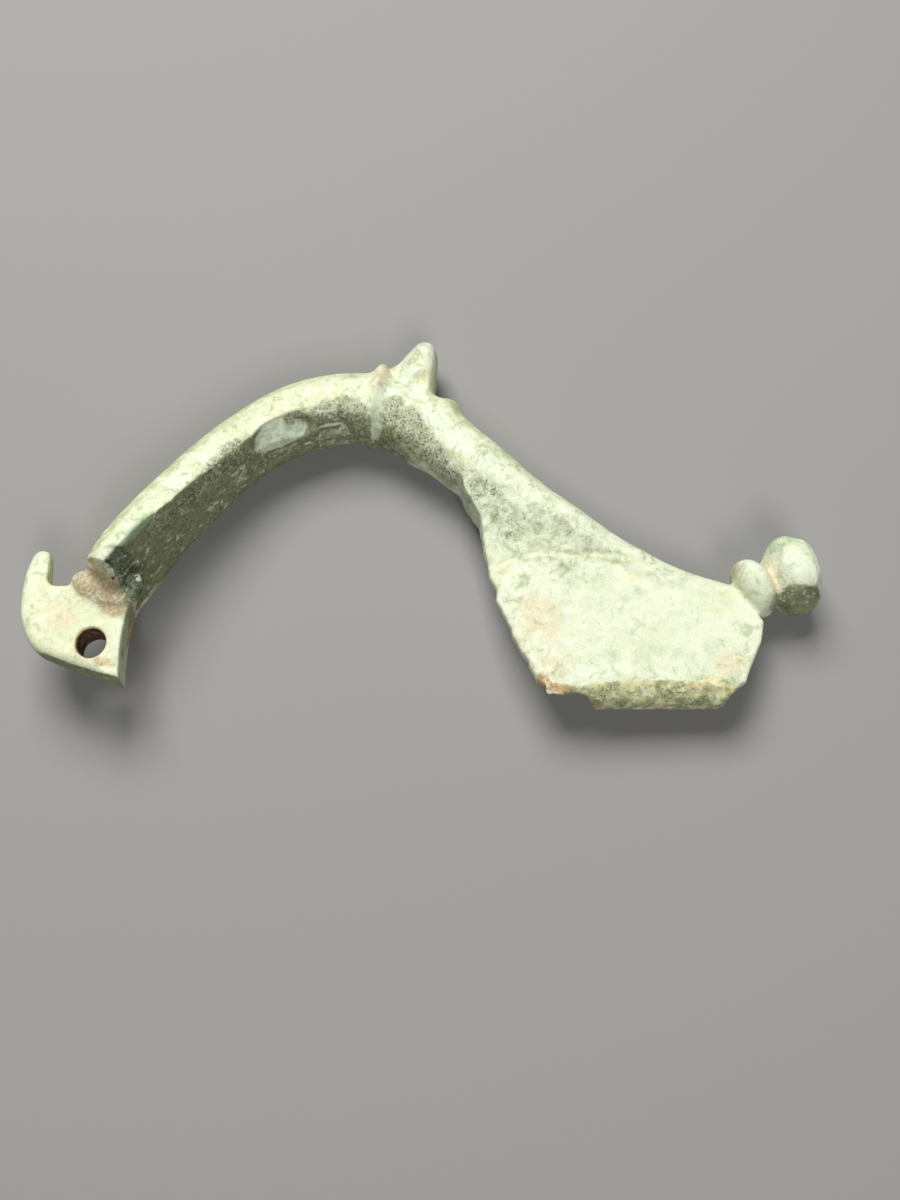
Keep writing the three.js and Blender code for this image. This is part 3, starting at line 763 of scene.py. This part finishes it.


# bronze under a pale green corrosion crust: no metal shows, so the surface is a dull dielectric.
# Each stain, painted shade and painted light is laid where its number on the mesh, roughened by noise, passes
# one half.
patina = dict(
    base="#d3dabf", roughness=0.78,
    stains=[  # number, two colours, size of the ragged edge in millimetres, raggedness, softness, most
        ("cream", "#cfd5b2", "#dadbba", 1.6, 0.7, 0.4, 0.9),
        ("lime", "#b9c397", "#c9cfa6", 1.2, 0.9, 0.45, 0.95),
        ("stain", "#dac9a4", "#d9cdb4", 0.5, 1.0, 0.45, 0.7),
        # painted shade over olive patina: the dark pair for the undersides and the faces turned from the
        # light
        ("oliveAndShade", "#7a7e5b", "#61674a", 0.9, 0.9, 0.22, 0.92),
        ("green", "#b4c8a8", "#9db894", 0.7, 1.0, 0.35, 0.7),
        # painted light: the scraped colour made paler so that the facets facing down look lit
        ("scrapeAndLight", "#dce7cf", "#c3d1b8", 0.6, 1.2, 0.3, 0.92),
        # painted light: the rolled catch's ochre made paler so that it looks lit
        ("ochreAndLight", "#ddd3a0", "#8f9863", 1.3, 1.6, 0.35, 0.95),
        ("bare", "#e1e7cf", "#d9e4cf", 0.6, 1.3, 0.2, 0.85),
        ("soil", "#a28a6c", "#c2ab91", 0.35, 0.9, 0.45, 0.92),
        ("rust", "#c9a06c", "#94683f", 0.3, 1.1, 0.35, 0.8),
        # painted shade: the hollow beside the lug, dark teal over dark patina
        ("hollow", "#3d4737", "#65755e", 0.4, 0.7, 0.3, 0.95),
        ("bore", "#5a3a22", "#38281a", 0.4, 0.15, 0.1, 1.0),
        ("crease", "#e0dfb8", "#d3d2a4", 0.8, 0.7, 0.4, 0.8),
    ],
    noises=dict(  # size of the features in millimetres, detail, roughness, distortion
        broad=(2.2, 3, 0.55, 0), cool=(1.3, 4, 0.6, 0.6), warm=(3.1, 3, 0.6, 0), fine=(0.16, 3, 0.6, 0),
        blotch=(0.9, 6, 0.7, 0.7), grain=(0.15, 3, 0.65, 0), coarse=(0.45, 5, 0.7, 0.8),
        broken=(1.1, 6, 0.72, 0.5), tone=(0.5, 4, 0.65, 0), fleck=(0.17, 3, 0.6, 0), pits=(0.3, 4, 0.7, 0.6),
    ),
    # washes: field, where it starts to show, where it is full, most, mask, colour
    under=[("broad", 0.35, 0.65, 1.0, None, "#dce1c8"), ("cool", 0.5, 0.72, 1.0, None, "#c3cfb4"),
           ("warm", 0.56, 0.75, 1.0, None, "#d3d1ac")],
    blotches=[("blotch", 0.52, 0.63, 0.6, "rough", "#97a377"),
              ("blotch", 0.46, 0.38, 0.7, "rough", "#e6ebd5")],
    grains=[("both", 0.47, 0.6, 0.85, "thick", "#34371f"), ("fleck", 0.53, 0.68, 0.75, "thick", "#dde2c4"),
            ("pits", 0.64, 0.74, 0.5, None, "#6f7650")],
    mottle=dict(low=0.38, high=0.62, dark="#84906c", pale="#f2f4e2", share=0.2),
    crust=dict(wander=2.6, low=0.2, high=0.95, dark="#6d7350", pale="#a3a983", share=0.62),
    bumps=[("fine", 0.02, 0.5), ("both", 0.06, 0.9)],  # field, height in millimetres, strength
)
smooth = dict(interpolation_type="SMOOTHSTEP")
inColour = dict(data_type="RGBA")
times, plus = dict(operation="MULTIPLY"), dict(operation="ADD")
timesPlus = dict(operation="MULTIPLY_ADD")

patinaMaterial, tree = newMaterial("bronzePatina")
inMetres = addNode(tree, "TexCoord", output="Object")
inMillimetres = addNode(tree, "Mapping", {}, {"Vector": inMetres, "Scale": (1 / mm, 1 / mm, 1 / mm)})

noises = dict(patina["noises"])
for kind, _, _, size, _, _, _ in patina["stains"]:
    noises[kind + "Edge"] = (size, 4, 0.62, 0)
    noises[kind + "Tone"] = (size * 0.6, 3, 0.55, 0)
field = {}
for name, (size, detail, roughness, distortion) in noises.items():
    field[name] = addNode(tree, "TexNoise", {}, {
        "Vector": inMillimetres, "Scale": 1 / size, "Detail": detail, "Roughness": roughness,
        "Distortion": distortion})
onMesh = {kind: addNode(tree, "Attribute", {"attribute_name": kind}, output="Fac") for kind in kinds}
field["rough"] = onMesh["rough"]


def washed(tint, washes):
    # lays each colour over the tint where its field eases from low to high, times its mask
    for name, low, high, most, mask, over in washes:
        share = addNode(tree, "MapRange", smooth, {
            "Value": field[name], "From Min": low, "From Max": high, "To Max": most})
        if mask:
            share = addNode(tree, "Math", times, {0: share, 1: field[mask]})
        tint = addNode(tree, "Mix", inColour, {0: share, 6: tint, 7: colour(over)}, 2)
    return tint


tint = washed(colour(patina["base"]), patina["under"])
for kind, first, second, size, ragged, softness, most in patina["stains"]:
    edge = addNode(tree, "Math", timesPlus, {0: field[kind + "Edge"], 1: ragged, 2: -ragged / 2})
    edge = addNode(tree, "Math", plus, {0: onMesh[kind], 1: edge})
    covered = addNode(tree, "MapRange", smooth, {
        "Value": edge, "From Min": 0.5 - softness, "From Max": 0.5 + softness, "To Max": most})
    tone = addNode(tree, "MapRange", smooth, {
        "Value": field[kind + "Tone"], "From Min": 0.4, "From Max": 0.62})
    stain = addNode(tree, "Mix", inColour, {0: tone, 6: colour(first), 7: colour(second)}, 2)
    tint = addNode(tree, "Mix", inColour, {0: covered, 6: tint, 7: stain}, 2)
tint = washed(tint, patina["blotches"])

# fine mottling everywhere, and where the crust is thick its own two tones under the grains
mottle, thickCrust = patina["mottle"], patina["crust"]
both = addNode(tree, "Math", plus, {0: field["grain"], 1: field["coarse"]})
field["both"] = addNode(tree, "Math", times, {0: both, 1: 0.5})
tone = addNode(tree, "MapRange", smooth, {
    "Value": field["both"], "From Min": mottle["low"], "From Max": mottle["high"]})
tone = addNode(tree, "Mix", inColour, {0: tone, 6: colour(mottle["dark"]), 7: colour(mottle["pale"])}, 2)
overlay = {**inColour, "blend_type": "OVERLAY"}
tint = addNode(tree, "Mix", overlay, {0: mottle["share"], 6: tint, 7: tone}, 2)
wander = thickCrust["wander"]
thick = addNode(tree, "Math", timesPlus, {0: field["broken"], 1: wander, 2: -wander / 2})
thick = addNode(tree, "Math", plus, {0: onMesh["crust"], 1: thick})
field["thick"] = addNode(tree, "MapRange", smooth, {
    "Value": thick, "From Min": thickCrust["low"], "From Max": thickCrust["high"]})
tone = addNode(tree, "MapRange", smooth, {"Value": field["tone"], "From Min": 0.36, "From Max": 0.64})
tone = addNode(tree, "Mix", inColour, {
    0: tone, 6: colour(thickCrust["dark"]), 7: colour(thickCrust["pale"])}, 2)
share = addNode(tree, "Math", times, {0: field["thick"], 1: thickCrust["share"]})
tint = addNode(tree, "Mix", inColour, {0: share, 6: tint, 7: tone}, 2)
tint = washed(tint, patina["grains"])

bumped = {}
for name, height, strength in patina["bumps"]:
    bumped = {"Normal": addNode(tree, "Bump", {}, {
        "Height": field[name], "Distance": height * mm, "Strength": strength, **bumped})}
surfaceShader = addNode(tree, "BsdfPrincipled", {}, {
    "Base Color": tint, "Roughness": patina["roughness"], **bumped})
addNode(tree, "OutputMaterial", {}, {"Surface": surfaceShader})
mesh.materials.clear()
mesh.materials.append(patinaMaterial)
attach(brooch, "root")
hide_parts("brooch_body")

# ---- floor, light and camera
ground = dict(colour="#908f8c", roughness=0.9, half=3.0)  # matt grey card, metres
floorMaterial, tree = newMaterial("paleCard")
card = addNode(tree, "BsdfPrincipled", {}, {
    "Base Color": colour(ground["colour"]), "Roughness": ground["roughness"]})
addNode(tree, "OutputMaterial", {}, {"Surface": card})
corners = ground["half"] * np.array([(-1, -1, 0), (1, -1, 0), (1, 1, 0), (-1, 1, 0)])
floor = meshObject("floor", corners, [[0, 1, 2, 3]])
floor.data.materials.append(floorMaterial)

lamps = [
    dict(name="window", place=(-0.04, 0.14, 0.25), size=0.16, power=1.06),
    dict(name="front", place=(0.10, -0.38, 0.42), size=0.2, power=1.35),
]
for lamp in lamps:
    data = bpy.data.lights.new(lamp["name"], "AREA")
    data.size = lamp["size"]
    data.energy = lamp["power"]
    light = bpy.data.objects.new(lamp["name"], data)
    light.location = lamp["place"]
    light.rotation_euler = (-Vector(lamp["place"])).to_track_quat("-Z", "Y").to_euler()
    bpy.context.scene.collection.objects.link(light)

world = bpy.data.worlds.new("studio")
world.use_nodes = True
background = world.node_tree.nodes["Background"]
background.inputs["Color"].default_value = colour("#ffffff")
background.inputs["Strength"].default_value = 0.03
bpy.context.scene.world = world
bpy.context.scene.view_settings.view_transform = "Standard"

view = dict(distance=87.16, elevation=66.6, aim=(28.782, 0.0, 0.0), lens=39.0)
tilt = math.radians(view["elevation"])
aim = np.array(view["aim"])
rightward = np.array([1, 0, 0])
upward = np.array([0, math.sin(tilt), math.cos(tilt)])
backward = np.array([0, -math.cos(tilt), math.sin(tilt)])
axes = lean @ np.stack([rightward, upward, backward], 1)
cameraData = bpy.data.cameras.new("camera")
cameraData.lens = view["lens"]
cameraData.sensor_width = 36
cameraData.clip_start = 0.001
camera = bpy.data.objects.new("camera", cameraData)
eye = toFrame(aim + view["distance"] * backward)
camera.matrix_world = Matrix.Translation(eye) @ Matrix(axes.tolist()).to_4x4()
bpy.context.scene.collection.objects.link(camera)
bpy.context.scene.camera = camera
